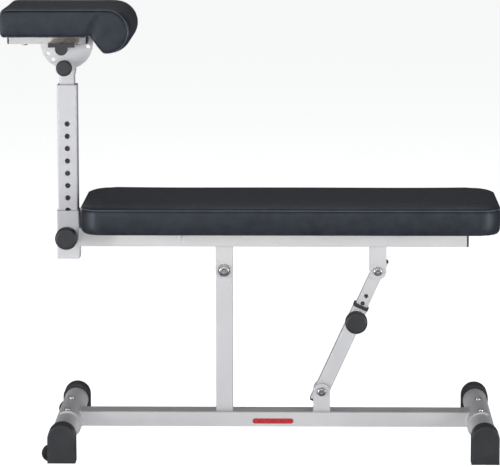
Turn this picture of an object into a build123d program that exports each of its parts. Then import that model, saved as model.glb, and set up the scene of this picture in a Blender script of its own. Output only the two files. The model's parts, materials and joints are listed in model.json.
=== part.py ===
"""Adjustable weight bench with a height-adjustable arm-curl pad.

Row frame: millimetres, +Z up, +X towards the free end of the seat, the arm pad at -X. The origin is on the
floor under the middle of the whole bench. "left" is the -Y side and "right" the +Y side: those of a person
who sits on the seat and faces the arm pad. "head" names what belongs to the arm-pad end.
"""
from build123d import *
from math import atan2, cos, degrees, hypot, radians, sin
import os

# ---- driving dimensions --------------------------------------------------------------------------------
# base
HEAD_FOOT_X = -373.5          # axis of the cross tube at the arm-pad end
SEAT_FOOT_X = 464.5           # axis of the cross tube at the seat end
FOOT_TUBE_R = 25.0
FOOT_TUBE_Z = 45.0            # height of the cross tubes' axis
FOOT_TUBE_HALF = 194.0        # half length of a cross tube
BEAM_DEPTH = 50.0
BEAM_Z = (33.0, 64.0)
SADDLE_THICK = 4.0
SADDLE_HALF = 67.0            # half width of a saddle plate along the cross tube
SADDLE_BOLT_Y = 54.0
SADDLE_HEAD_R = 6.5           # round head of a saddle bolt
CAP_Y = (177.0, 215.0)        # inner and outer end of a foot cap
CAP_WIDTH = 55.5
CAP_TOP_Z = 78.0
WHEEL_R = 17.0
WHEEL_X = -396.0
WHEEL_Z = 19.5
WHEEL_Y = (197.0, 209.0)
WHEEL_AXLE_R = 3.0
SUPPORT_X = -56.0             # centre of the upright under the seat
SUPPORT_SIZE = (34.0, 30.0)   # along X, along Y

# seat tilt pivot and strut
TILT_Z = 355.0
STRUT_FOOT = (142.0, 104.7)   # X and Z of the strut's lower bolt
STRUT_HEAD = (255.0, 353.0)   # X and Z of the strut's upper bolt
STRUT_OUTER = 30.0
STRUT_INNER = 25.0
STRUT_BELOW = 22.0            # outer tube below the lower bolt, and inner tube past the upper bolt
STRUT_OUTER_TOP = 188.0       # outer tube above the lower bolt
STRUT_PIN_AT = 166.5          # pull pin above the lower bolt
STRUT_HOLE_PITCH = 16.6
STRUT_HOLES_ABOVE = 3
STRUT_HOLES_BELOW = 5
STRUT_SLACK_R = 7.6           # hole in the inner tube round the upper bolt

# seat frame
RAIL_DEPTH = 50.0
RAIL_Z = (404.5, 442.5)
RAIL_END_X = 433.5
SLEEVE_X = -370.5
SLEEVE_SIZE = 45.0
SLEEVE_Z = (379.0, 477.0)
BRACKET_LEG_X = (-139.0, 274.0)   # leg faces of the two cross angles under the seat board
BRACKET_WIDTH = 40.0          # flange width along X
BRACKET_HALF = 125.0
BRACKET_THICK = 5.0
BRACKET_LEG = 4.0             # thickness of a leg
BRACKET_DROP = 16.5           # how far a leg hangs beside the rail, below its top
SEAT_X = (-339.5, 496.5)
SEAT_HALF = 150.0
SEAT_Z = (448.5, 505.0)
SEAT_CORNER_R = 46.0
SEAT_EDGE_R = 10.0            # round of the pad's top edge
BOARD_INSET = 8.0
BOARD_THICK = 12.0

# post and head
POST_SIZE = 40.0
POST_Z = (391.0, 731.0)
POST_PIN_Z = 428.0
POST_HOLE_PITCH = 25.0
POST_HOLES_ABOVE = 9
NECK_SIZE = 30.0
CLEVIS_Z = 753.0              # underside of the clevis
CLEVIS_WIDTH = 36.0
CLEVIS_GAP = 34.0
CLEVIS_THICK = 4.0
CLEVIS_FRONT_TOP = 784.0      # top of the low front cheek, which only carries the pull pin
CLEVIS_BOSS = 6.0             # how far the bearing boss stands out of the rear cheek
HEAD_X = -372.0
HEAD_Z = 813.0
PIVOT_TUBE_R = 12.5
PIVOT_TUBE_HALF = 118.0
DISC_R = 52.5
DISC_HOLE_CIRCLE = 43.5
DISC_HOLE_ANGLES = (170, 210, 230, 250, 270, 350)
HEAD_RAIL = 25.0
HEAD_RAIL_X = (-486.0, -332.0)
FLAT_WIDTH = 52.0             # over both flats, across the pivot tube
FLAT_Z = (816.4, 824.0)
ARM_PAD_X = -496.5            # far end of the arm pad
ARM_PAD_Z = (839.0, 894.0)
ARM_PAD_HALF = 120.0
ROLL_R = 45.0
ROLL_X = -276.0
ROLL_FLAT_X = -290.0          # where the roll's flat underside starts
ROLL_SLOPE_X = -316.0         # where the slope from the pad's underside to the roll starts

# stock
WALL = 2.0
TUBE_CORNER = 3.0
RUN = 0.05                    # radial clearance of a turning or sliding shaft
PIN_STROKE = 8.0
M6, M8, M10, M12 = 3.0, 4.0, 5.0, 6.0     # bolt radii
PLUG_FLANGE = 4.0
PLUG_DEPTH = 18.0


# ---- helpers -------------------------------------------------------------------------------------------
def span_box(x, y, z):
    """Box that fills three (low, high) spans."""
    size = [high - low for low, high in (x, y, z)]
    middle = [(high + low) / 2 for low, high in (x, y, z)]
    return Pos(*middle) * Box(*size)


def rod_y(radius, x, z, y):
    """Round bar along Y between the two values in y."""
    low, high = min(y), max(y)
    return Pos(x, (low + high) / 2, z) * Rot(90, 0, 0) * Cylinder(radius, high - low)


def rod_z(radius, x, y, z):
    """Round bar along Z between the two values in z."""
    low, high = min(z), max(z)
    return Pos(x, y, (low + high) / 2) * Cylinder(radius, high - low)


def tube_z(width, depth, z, wall=WALL):
    """Rounded rectangular tube standing along Z, centred on the Z axis."""
    outer = RectangleRounded(width, depth, TUBE_CORNER)
    inner = RectangleRounded(width - 2 * wall, depth - 2 * wall, TUBE_CORNER - wall)
    return Pos(0, 0, z[0]) * extrude(outer - inner, amount=z[1] - z[0])


def tube_x(depth, height, x, z_low, wall=WALL):
    """Rounded rectangular tube lying along X, centred on Y = 0."""
    standing = tube_z(height, depth, (0, x[1] - x[0]), wall)
    return Pos(x[0], 0, z_low + height / 2) * Rot(0, 90, 0) * standing


def plug_z(size, face_z, down, flange_size, depth=PLUG_DEPTH, wall=WALL):
    """Moulded end plug for a square tube along Z: a flange outside face_z and a spigot inside the tube."""
    way = -1 if down else 1
    spigot = size - 2 * wall - 0.2
    flange = RectangleRounded(flange_size, flange_size, TUBE_CORNER)
    body = Pos(0, 0, min(0, way * PLUG_FLANGE)) * extrude(flange, amount=PLUG_FLANGE)
    section = RectangleRounded(spigot, spigot, TUBE_CORNER - wall)
    body += Pos(0, 0, min(0, -way * depth)) * extrude(section, amount=depth)
    outer_edges = body.edges().group_by(Axis.Z)[0 if down else -1]
    body = fillet(outer_edges, 1.5)
    return Pos(0, 0, face_z) * body


def plug_x(depth, z, face_x, way, spigot=PLUG_DEPTH, flange=PLUG_FLANGE):
    """Moulded end plug for a tube along X, its flange on the outside of face_x; way is +1 or -1 along X."""
    height = z[1] - z[0]
    turn = Pos(face_x, 0, sum(z) / 2) * Rot(0, 90 * way, 0)
    cap = extrude(RectangleRounded(height, depth, TUBE_CORNER), amount=flange)
    cap = fillet(cap.edges().group_by(Axis.Z)[-1], flange * 0.4)
    side = 2 * WALL + 0.2
    inside = RectangleRounded(height - side, depth - side, TUBE_CORNER - WALL)
    return turn * (cap + extrude(inside, amount=-spigot))


def hex_nut(radius, across, thick, x, z, y_low):
    """Hexagon nut on a bolt along Y."""
    outline = Rot(90, 0, 0) * extrude(RegularPolygon(across / 2, 6, major_radius=False), amount=thick)
    return Pos(x, y_low + thick, z) * outline - rod_y(radius, x, z, (y_low - 1, y_low + thick + 1))


def button_bolt_y(radius, x, z, y_head, y_end):
    """Low round-head bolt along Y with its head at the -Y side, with a hexagon socket."""
    head_r = radius * 1.8
    head_h = radius * 1.1
    bolt = rod_y(radius, x, z, (y_head, y_end))
    head = rod_y(head_r, x, z, (y_head - head_h, y_head))
    rim = head.edges().filter_by(GeomType.CIRCLE).sort_by(Axis.Y)[0]
    bolt += fillet(rim, head_h * 0.7)
    socket = Rot(90, 0, 0) * extrude(RegularPolygon(radius * 0.6, 6), amount=head_h * 0.6)
    return bolt - Pos(x, y_head - head_h * 0.4, z) * socket


def channel_cheeks(x, gap, thick, width, z_web, z_pivot, hole_r, below):
    """Folded channel with two rounded cheeks and a web: it hangs below the web, or stands on it."""
    radius = width / 2
    half = gap / 2 + thick
    cheek = rod_y(radius, x, z_pivot, (-half, half))
    low, high = (z_pivot, z_web) if below else (z_web, z_pivot)
    cheek += span_box((x - radius, x + radius), (-half, half), (low, high))
    slot_z = (z_pivot - radius - 1, z_web - thick) if below else (z_web + thick, z_pivot + radius + 1)
    cheek -= span_box((x - radius - 1, x + radius + 1), (-gap / 2, gap / 2), slot_z)
    return cheek - rod_y(hole_r, x, z_pivot, (-half - 1, half + 1))


def spring_coil(radius, wire_r, length, turns):
    """Open helical compression spring along local Z, from 0 to length, wire included."""
    pitch = (length - 2 * wire_r) / turns
    path = Helix(pitch, pitch * turns, radius)
    start = Plane(path @ 0, z_dir=path % 0)
    return Pos(0, 0, wire_r) * sweep(start * Circle(wire_r), path)


def pull_pin(face, target, tip_r, knob_r, knob_length):
    """Sprung pull pin along -Y at x = z = 0, drawn fully out, as housing, spring, plunger and knob.

    face is the Y of the surface that the housing is welded to, and target is the Y of the face with the
    holes, which the drawn tip just clears. Pushed in by PIN_STROKE, the tip stands in one of those holes.
    """
    housing_r, chamber_r, collar_r, stem_r = tip_r + 7, tip_r + 3.5, tip_r + 3, tip_r * 0.7
    chamber = (face - 18.5, face - 2.5)
    housing_end = face - 21.0
    housing = rod_y(housing_r, 0, 0, (housing_end, face))
    outer_rim = housing.edges().filter_by(GeomType.CIRCLE).sort_by(Axis.Y)[0]
    housing = chamfer(outer_rim, 1.5)
    housing -= rod_y(chamber_r, 0, 0, chamber)
    housing -= rod_y(tip_r + RUN, 0, 0, (chamber[1] - 1, face + 1))
    housing -= rod_y(stem_r + RUN, 0, 0, (housing_end - 1, chamber[0] + 1))

    collar = (chamber[1] - PIN_STROKE - 3.2, chamber[1] - PIN_STROKE - 0.2)
    tip_end = target - 0.6
    knob_face = housing_end - PIN_STROKE - 1.0
    stem_end = knob_face - knob_length * 0.6
    plunger = rod_y(tip_r, 0, 0, (collar[0], tip_end))
    tip_rim = plunger.edges().filter_by(GeomType.CIRCLE).sort_by(Axis.Y)[-1]
    plunger = chamfer(tip_rim, 0.8)
    plunger += rod_y(collar_r, 0, 0, collar)
    plunger += rod_y(stem_r, 0, 0, (stem_end, collar[0]))

    knob = rod_y(knob_r, 0, 0, (knob_face - knob_length, knob_face - 5))
    knob = fillet(knob.edges().filter_by(GeomType.CIRCLE).sort_by(Axis.Y)[0], knob_r * 0.28)
    knob = fillet(knob.edges().filter_by(GeomType.CIRCLE).sort_by(Axis.Y)[-1], 3)
    knob += rod_y(knob_r * 0.6, 0, 0, (knob_face - 6, knob_face))
    knob -= rod_y(stem_r, 0, 0, (stem_end, knob_face + 1))

    gap = collar[0] - chamber[0]
    coil = spring_coil(stem_r + 1.5, 0.6, gap - 0.2, 3)
    spring = Pos(0, collar[0] - 0.1, 0) * Rot(90, 0, 0) * coil
    return {"housing": housing, "spring": spring, "plunger": plunger, "knob": knob}


def save(name, *solids):
    """Write one node, as one solid or as a group of separate solids."""
    shape = solids[0] if len(solids) == 1 else Compound(children=[s.solid() for s in solids])
    if len(solids) == 1:
        shape = shape.solid()
    shape.label = name
    export_step(shape, f"parts/{name}.step")


# ---- base ----------------------------------------------------------------------------------------------
def foot_tube(x):
    """Round cross tube with bolt holes through its top and bottom wall."""
    tube = rod_y(FOOT_TUBE_R, x, FOOT_TUBE_Z, (-FOOT_TUBE_HALF, FOOT_TUBE_HALF))
    tube -= rod_y(FOOT_TUBE_R - WALL, x, FOOT_TUBE_Z, (-FOOT_TUBE_HALF - 1, FOOT_TUBE_HALF + 1))
    for y in (-SADDLE_BOLT_Y, SADDLE_BOLT_Y):
        tube -= rod_z(M8 + 0.2, x, y, (0, CAP_TOP_Z + 10))
    return tube


def saddle_plate(x, side):
    """Curved plate over the cross tube; side is +1 where the beam lies on the +X side of the tube."""
    outer_r = FOOT_TUBE_R + SADDLE_THICK
    ring = Circle(outer_r) - Circle(FOOT_TUBE_R)
    low, high = (-42, 122) if side > 0 else (58, 222)
    reach = outer_r * 3
    rays = [(reach * cos(radians(a)), reach * sin(radians(a))) for a in (low, (low + high) / 2, high)]
    ring &= make_face(Polyline((0, 0), *rays, (0, 0)))
    plate = Pos(x, SADDLE_HALF, FOOT_TUBE_Z) * Rot(90, 0, 0) * extrude(ring, amount=2 * SADDLE_HALF)
    for y in (-SADDLE_BOLT_Y, SADDLE_BOLT_Y):
        plate -= rod_z(M8 + 0.2, x, y, (FOOT_TUBE_Z, CAP_TOP_Z + 10))
    return plate


def saddle_bolt(x, y):
    """Round-head bolt down through the saddle plate and the cross tube."""
    seat = FOOT_TUBE_Z + FOOT_TUBE_R + SADDLE_THICK
    bolt = rod_z(M8, x, y, (FOOT_TUBE_Z - FOOT_TUBE_R - 9, seat))
    head = rod_z(SADDLE_HEAD_R, x, y, (seat, seat + 5))
    rim = head.edges().filter_by(GeomType.CIRCLE).sort_by(Axis.Z)[-1]
    return bolt + fillet(rim, 4)


def saddle_nut(x, y):
    """Hexagon nut under the cross tube."""
    top = FOOT_TUBE_Z - FOOT_TUBE_R
    thick = 6.5
    nut = extrude(RegularPolygon(6.5, 6, major_radius=False), amount=thick)
    return Pos(x, y, top - thick) * nut - rod_z(M8, x, y, (top - 10, top + 1))


def foot_cap(x, side, has_wheel):
    """Moulded foot: domed top, straight sides, flat sole, blind bore for the cross tube."""
    half = CAP_WIDTH / 2
    depth = CAP_Y[1] - CAP_Y[0]
    y_low = CAP_Y[0] if side > 0 else -CAP_Y[1]
    dome = rod_y(half, x, CAP_TOP_Z - half, (y_low, y_low + depth))
    cap = dome + span_box((x - half, x + half), (y_low, y_low + depth), (0, CAP_TOP_Z - half))
    end = cap.faces().sort_by(Axis.Y)[-1 if side > 0 else 0]
    cap = fillet(end.edges(), 3)
    mouth = (0, side * (FOOT_TUBE_HALF + 0.5))
    cap -= rod_y(FOOT_TUBE_R + 0.1, x, FOOT_TUBE_Z, mouth)
    if has_wheel:
        slot = (side * (WHEEL_Y[0] - 1.5), side * (WHEEL_Y[1] + 1.5))
        slot = (min(slot), max(slot))
        cap -= rod_y(WHEEL_R + 2, WHEEL_X, WHEEL_Z, slot)
        cap -= span_box((x - half - 1, WHEEL_X + WHEEL_R + 2), slot, (-1, WHEEL_Z))
        cap -= rod_y(WHEEL_AXLE_R, WHEEL_X, WHEEL_Z, (side * (CAP_Y[0] + 6), side * (CAP_Y[1] - 2)))
    return cap


def wheel(side):
    """Small transport wheel with a rounded tread and a recessed hub face."""
    y = (side * WHEEL_Y[0], side * WHEEL_Y[1])
    body = rod_y(WHEEL_R, WHEEL_X, WHEEL_Z, y)
    body = fillet(body.edges().filter_by(GeomType.CIRCLE), 3)
    outer = side * WHEEL_Y[1]
    body -= rod_y(WHEEL_R - 5, WHEEL_X, WHEEL_Z, (outer - side * 2, outer + side))
    return body - rod_y(WHEEL_AXLE_R + RUN, WHEEL_X, WHEEL_Z, (side * 190, side * 215))


def make_base():
    """Write every node of the fixed base and the two wheels."""
    beam = tube_x(BEAM_DEPTH, BEAM_Z[1] - BEAM_Z[0], (HEAD_FOOT_X, SEAT_FOOT_X), BEAM_Z[0])
    for x in (HEAD_FOOT_X, SEAT_FOOT_X):
        beam -= rod_y(FOOT_TUBE_R + SADDLE_THICK, x, FOOT_TUBE_Z, (-BEAM_DEPTH, BEAM_DEPTH))
    save("base_beam", beam)
    save("head_foot_tube", foot_tube(HEAD_FOOT_X))
    save("seat_foot_tube", foot_tube(SEAT_FOOT_X))
    save("saddle_plates", saddle_plate(HEAD_FOOT_X, 1), saddle_plate(SEAT_FOOT_X, -1))
    places = [(x, y) for x in (HEAD_FOOT_X, SEAT_FOOT_X) for y in (-SADDLE_BOLT_Y, SADDLE_BOLT_Y)]
    save("saddle_bolts", *[saddle_bolt(x, y) for x, y in places])
    save("saddle_nuts", *[saddle_nut(x, y) for x, y in places])
    save("head_foot_caps", foot_cap(HEAD_FOOT_X, -1, True), foot_cap(HEAD_FOOT_X, 1, True))
    save("seat_foot_caps", foot_cap(SEAT_FOOT_X, -1, False), foot_cap(SEAT_FOOT_X, 1, False))
    save("left_wheel", wheel(-1))
    save("right_wheel", wheel(1))
    axle = [rod_y(WHEEL_AXLE_R, WHEEL_X, WHEEL_Z, (s * (CAP_Y[0] + 6), s * (CAP_Y[1] - 2))) for s in (-1, 1)]
    save("wheel_axles", *axle)

    width, depth = SUPPORT_SIZE
    post = Pos(SUPPORT_X, 0, 0) * tube_z(width, depth, (BEAM_Z[1], TILT_Z + width / 2))
    bush_r = M12 + 2.5
    half = depth / 2
    post -= rod_y(bush_r, SUPPORT_X, TILT_Z, (-half - 1, half + 1))
    bush = rod_y(bush_r, SUPPORT_X, TILT_Z, (-half, half))
    bush -= rod_y(M12 + RUN, SUPPORT_X, TILT_Z, (-half - 1, half + 1))
    save("support_post", post)
    save("support_post_bush", bush)

    x, z = STRUT_FOOT
    gap = STRUT_OUTER + 1.0
    bracket = channel_cheeks(x, gap, 4, 34, BEAM_Z[1], z, M10 + 0.1, below=False)
    save("strut_foot_bracket", bracket)
    half = gap / 2 + 4
    save("strut_lower_bolt", button_bolt_y(M10, x, z, -half, half + 12), hex_nut(M10, 16, 8, x, z, half))

    plate = Pos(43, -BEAM_DEPTH / 2, 45) * Rot(90, 0, 0) * extrude(SlotOverall(83, 10.5), amount=0.8)
    save("name_plate", plate)


# ---- telescopic strut ----------------------------------------------------------------------------------
def make_strut():
    """Write the strut, built along local Z from its lower bolt and then leant towards its upper bolt."""
    run_x = STRUT_HEAD[0] - STRUT_FOOT[0]
    run_z = STRUT_HEAD[1] - STRUT_FOOT[1]
    length = hypot(run_x, run_z)
    lean = 90 - degrees(atan2(run_z, run_x))
    strut = Pos(STRUT_FOOT[0], 0, STRUT_FOOT[1]) * Rot(0, lean, 0)
    half = STRUT_OUTER / 2

    outer = tube_z(STRUT_OUTER, STRUT_OUTER, (-STRUT_BELOW, STRUT_OUTER_TOP))
    outer -= rod_y(M10 + 2, 0, 0, (-half - 1, half + 1))
    outer -= rod_y(M8 + 0.2, 0, STRUT_PIN_AT, (-half - 1, 0))
    bush = rod_y(M10 + 2, 0, 0, (-half, half)) - rod_y(M10 + RUN, 0, 0, (-half - 1, half + 1))
    ring_size = STRUT_OUTER + 1.5
    slide_size = STRUT_INNER + 0.6
    ring = RectangleRounded(ring_size, ring_size, 4) - Rectangle(slide_size, slide_size)
    guide = Pos(0, 0, STRUT_OUTER_TOP) * extrude(ring, amount=7)
    save("strut_outer_tube", strut * outer)
    save("strut_pivot_bush", strut * bush)
    save("strut_guide_ring", strut * guide)
    save("strut_lower_plug", strut * plug_z(STRUT_OUTER, -STRUT_BELOW, True, STRUT_OUTER, depth=12))

    inner_bottom = STRUT_PIN_AT - STRUT_HOLE_PITCH * STRUT_HOLES_BELOW - 18
    inner = tube_z(STRUT_INNER, STRUT_INNER, (inner_bottom, length + STRUT_BELOW))
    for step in range(-STRUT_HOLES_BELOW, STRUT_HOLES_ABOVE + 1):
        hole_z = STRUT_PIN_AT + step * STRUT_HOLE_PITCH
        inner -= rod_y(M8 + 0.3, 0, hole_z, (-half, 0))
    inner -= rod_y(STRUT_SLACK_R, 0, length, (-half, half))
    save("strut_inner_tube", strut * inner)
    top = plug_z(STRUT_INNER, length + STRUT_BELOW, False, STRUT_INNER, depth=12)
    save("strut_top_plug", strut * top)

    pin = pull_pin(-half, -STRUT_INNER / 2, M8, 22.5, 27)
    for piece, shape in pin.items():
        save(f"strut_pin_{piece}", strut * Pos(0, 0, STRUT_PIN_AT) * shape)


# ---- seat frame ----------------------------------------------------------------------------------------
def seat_outline(inset):
    """Plan of the seat pad, with rounded corners, inset on every side."""
    length = SEAT_X[1] - SEAT_X[0] - 2 * inset
    outline = RectangleRounded(length, 2 * (SEAT_HALF - inset), SEAT_CORNER_R - inset)
    return Pos((SEAT_X[0] + SEAT_X[1]) / 2, 0, 0) * outline


def pad_bracket(leg_x, way, screw_x, screw_y):
    """Cross angle on top of the rail: a flange under the board, and a leg on each side of the rail."""
    top = RAIL_Z[1] + BRACKET_THICK
    flange_x = sorted((leg_x, leg_x + way * BRACKET_WIDTH))
    bracket = span_box(flange_x, (-BRACKET_HALF, BRACKET_HALF), (RAIL_Z[1], top))
    bracket = fillet(bracket.edges().filter_by(Axis.Z), 4)
    leg_span = sorted((leg_x, leg_x + way * BRACKET_LEG))
    for side in (-1, 1):
        leg_y = sorted((side * RAIL_DEPTH / 2, side * (BRACKET_HALF - 5)))
        bracket += span_box(leg_span, leg_y, (RAIL_Z[1] - BRACKET_DROP, RAIL_Z[1] + 1))
        bracket -= rod_z(M8 + 0.3, screw_x, side * screw_y, (RAIL_Z[1] - 1, top + 1))
    return bracket


def make_seat_frame():
    """Write every node that tilts with the seat."""
    sleeve_face = SLEEVE_X + SLEEVE_SIZE / 2
    rail = tube_x(RAIL_DEPTH, RAIL_Z[1] - RAIL_Z[0], (sleeve_face, RAIL_END_X), RAIL_Z[0])
    save("seat_rail", rail)
    save("seat_rail_cap", plug_x(RAIL_DEPTH, RAIL_Z, RAIL_END_X, 1))

    sleeve = Pos(SLEEVE_X, 0, 0) * tube_z(SLEEVE_SIZE, SLEEVE_SIZE, SLEEVE_Z)
    sleeve -= rod_y(M10 + 0.2, SLEEVE_X, POST_PIN_Z, (-SLEEVE_SIZE, 0))
    save("post_sleeve", sleeve)
    pin = pull_pin(-SLEEVE_SIZE / 2, -POST_SIZE / 2, M10, 22.5, 27)
    for piece, shape in pin.items():
        save(f"sleeve_pin_{piece}", Pos(SLEEVE_X, 0, POST_PIN_Z) * shape)

    tilt_gap = SUPPORT_SIZE[1] + 1.0
    tilt_half = tilt_gap / 2 + 4
    tilt = channel_cheeks(SUPPORT_X, tilt_gap, 4, 34, RAIL_Z[0], TILT_Z, M12 + 0.1, below=True)
    save("tilt_bracket", tilt)
    save("tilt_bolt", button_bolt_y(M12, SUPPORT_X, TILT_Z, -tilt_half - 2, tilt_half + 13))
    x, z = STRUT_HEAD
    strut_gap = STRUT_INNER + 1.0
    strut_half = strut_gap / 2 + 4
    save("strut_top_bracket", channel_cheeks(x, strut_gap, 4, 34, RAIL_Z[0], z, M10 + 0.1, below=True))
    save("strut_upper_bolt", button_bolt_y(M10, x, z, -strut_half, strut_half + 12))
    washer = rod_y(13, SUPPORT_X, TILT_Z, (-tilt_half - 2, -tilt_half))
    washer -= rod_y(M12, SUPPORT_X, TILT_Z, (-tilt_half - 3, -tilt_half + 1))
    nuts = [hex_nut(M12, 18, 9, SUPPORT_X, TILT_Z, tilt_half), hex_nut(M10, 16, 8, x, z, strut_half)]
    save("frame_nuts", *nuts, washer)

    board_z = RAIL_Z[1] + BRACKET_THICK
    board = Pos(0, 0, board_z) * extrude(seat_outline(BOARD_INSET), amount=BOARD_THICK)
    screw_y = 95.0
    brackets, screws = [], []
    for leg_x, way in zip(BRACKET_LEG_X, (-1, 1)):
        screw_x = leg_x + way * BRACKET_WIDTH * 0.55
        brackets.append(pad_bracket(leg_x, way, screw_x, screw_y))
        for y in (-screw_y, screw_y):
            board -= rod_z(M8, screw_x, y, (board_z - 1, board_z + 9))
            screw = rod_z(M8, screw_x, y, (RAIL_Z[1], board_z + 9))
            head = rod_z(M8 * 1.9, screw_x, y, (RAIL_Z[1] - 4, RAIL_Z[1]))
            screws.append(screw + fillet(head.edges().filter_by(GeomType.CIRCLE).sort_by(Axis.Z)[0], 2.5))
    save("pad_brackets", *brackets)
    save("seat_pad_screws", *screws)
    save("seat_board", board)
    cushion = Pos(0, 0, SEAT_Z[0]) * extrude(seat_outline(0), amount=SEAT_Z[1] - SEAT_Z[0])
    cushion = fillet(cushion.edges().group_by(Axis.Z)[-1], SEAT_EDGE_R)
    pocket = extrude(seat_outline(BOARD_INSET), amount=board_z + BOARD_THICK)
    save("seat_cushion", cushion - pocket)


# ---- height-adjustable post ----------------------------------------------------------------------------
def make_post():
    """Write every node that slides in the sleeve."""
    place = Pos(SLEEVE_X, 0, 0)
    post = tube_z(POST_SIZE, POST_SIZE, POST_Z)
    for step in range(-1, POST_HOLES_ABOVE + 1):
        post -= rod_y(M10 + 0.3, 0, POST_PIN_Z + step * POST_HOLE_PITCH, (-POST_SIZE, 0))
    save("height_post", place * post)
    save("post_bottom_plug", place * plug_z(POST_SIZE, POST_Z[0], True, POST_SIZE - 0.4, depth=6))
    lid = Pos(0, 0, POST_Z[1] - 6) * extrude(
        RectangleRounded(POST_SIZE - 2 * WALL - 0.2, POST_SIZE - 2 * WALL - 0.2, 1), amount=6)
    neck = lid + tube_z(NECK_SIZE, NECK_SIZE, (POST_Z[1], CLEVIS_Z))
    save("post_neck", place * neck)

    half = CLEVIS_GAP / 2 + CLEVIS_THICK
    radius = CLEVIS_WIDTH / 2
    clevis = channel_cheeks(HEAD_X, CLEVIS_GAP, CLEVIS_THICK, CLEVIS_WIDTH, CLEVIS_Z, HEAD_Z,
                            PIVOT_TUBE_R + RUN, below=False)
    corners = clevis.edges().filter_by(Axis.Y).group_by(Axis.Z)[0]
    clevis = chamfer(corners, CLEVIS_THICK - 0.5)
    span_x = (HEAD_X - radius - 1, HEAD_X + radius + 1)
    clevis -= span_box(span_x, (-half - 1, -CLEVIS_GAP / 2 + 1), (CLEVIS_FRONT_TOP, HEAD_Z + radius + 1))
    level = (CLEVIS_FRONT_TOP - 0.1, CLEVIS_FRONT_TOP + 0.1)
    corners = clevis.edges().filter_by(Axis.Y).filter_by_position(Axis.Z, *level)
    clevis = fillet(corners, radius * 0.6)
    boss = rod_y(radius - 0.5, HEAD_X, HEAD_Z, (half - 1, half + CLEVIS_BOSS))
    clevis += boss - rod_y(PIVOT_TUBE_R + RUN, HEAD_X, HEAD_Z, (half - 2, half + CLEVIS_BOSS + 1))
    pin_z = HEAD_Z - DISC_HOLE_CIRCLE
    clevis -= rod_y(M8 + 0.1, HEAD_X, pin_z, (-half - 1, half + 1))
    save("head_clevis", clevis)
    disc_face = HEAD_RAIL / 2
    pin = pull_pin(-half, disc_face, M8, 16.0, 17)
    for piece, shape in pin.items():
        save(f"head_pin_{piece}", Pos(HEAD_X, 0, pin_z) * shape)


# ---- arm-pad head --------------------------------------------------------------------------------------
def arm_pad_outline(inset=0.0):
    """Side view of the arm pad: a flat pad that ends in a thick roll at its +X end."""
    low, high = ARM_PAD_Z
    corner = 14.0
    roll_z = high - ROLL_R
    bottom = roll_z - ROLL_R
    with BuildSketch(Plane.XZ) as sketch:
        with BuildLine():
            outline = Polyline((ARM_PAD_X, high - corner), (ARM_PAD_X, low), (ROLL_SLOPE_X, low),
                               (ROLL_FLAT_X, bottom), (ROLL_X, bottom))
            roll = ThreePointArc(outline @ 1, (ROLL_X + ROLL_R, roll_z), (ROLL_X, high))
            top = Line(roll @ 1, (ARM_PAD_X + corner, high))
            TangentArc(top @ 1, outline @ 0, tangent=(-1, 0))
        make_face()
    return sketch.sketch


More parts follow.
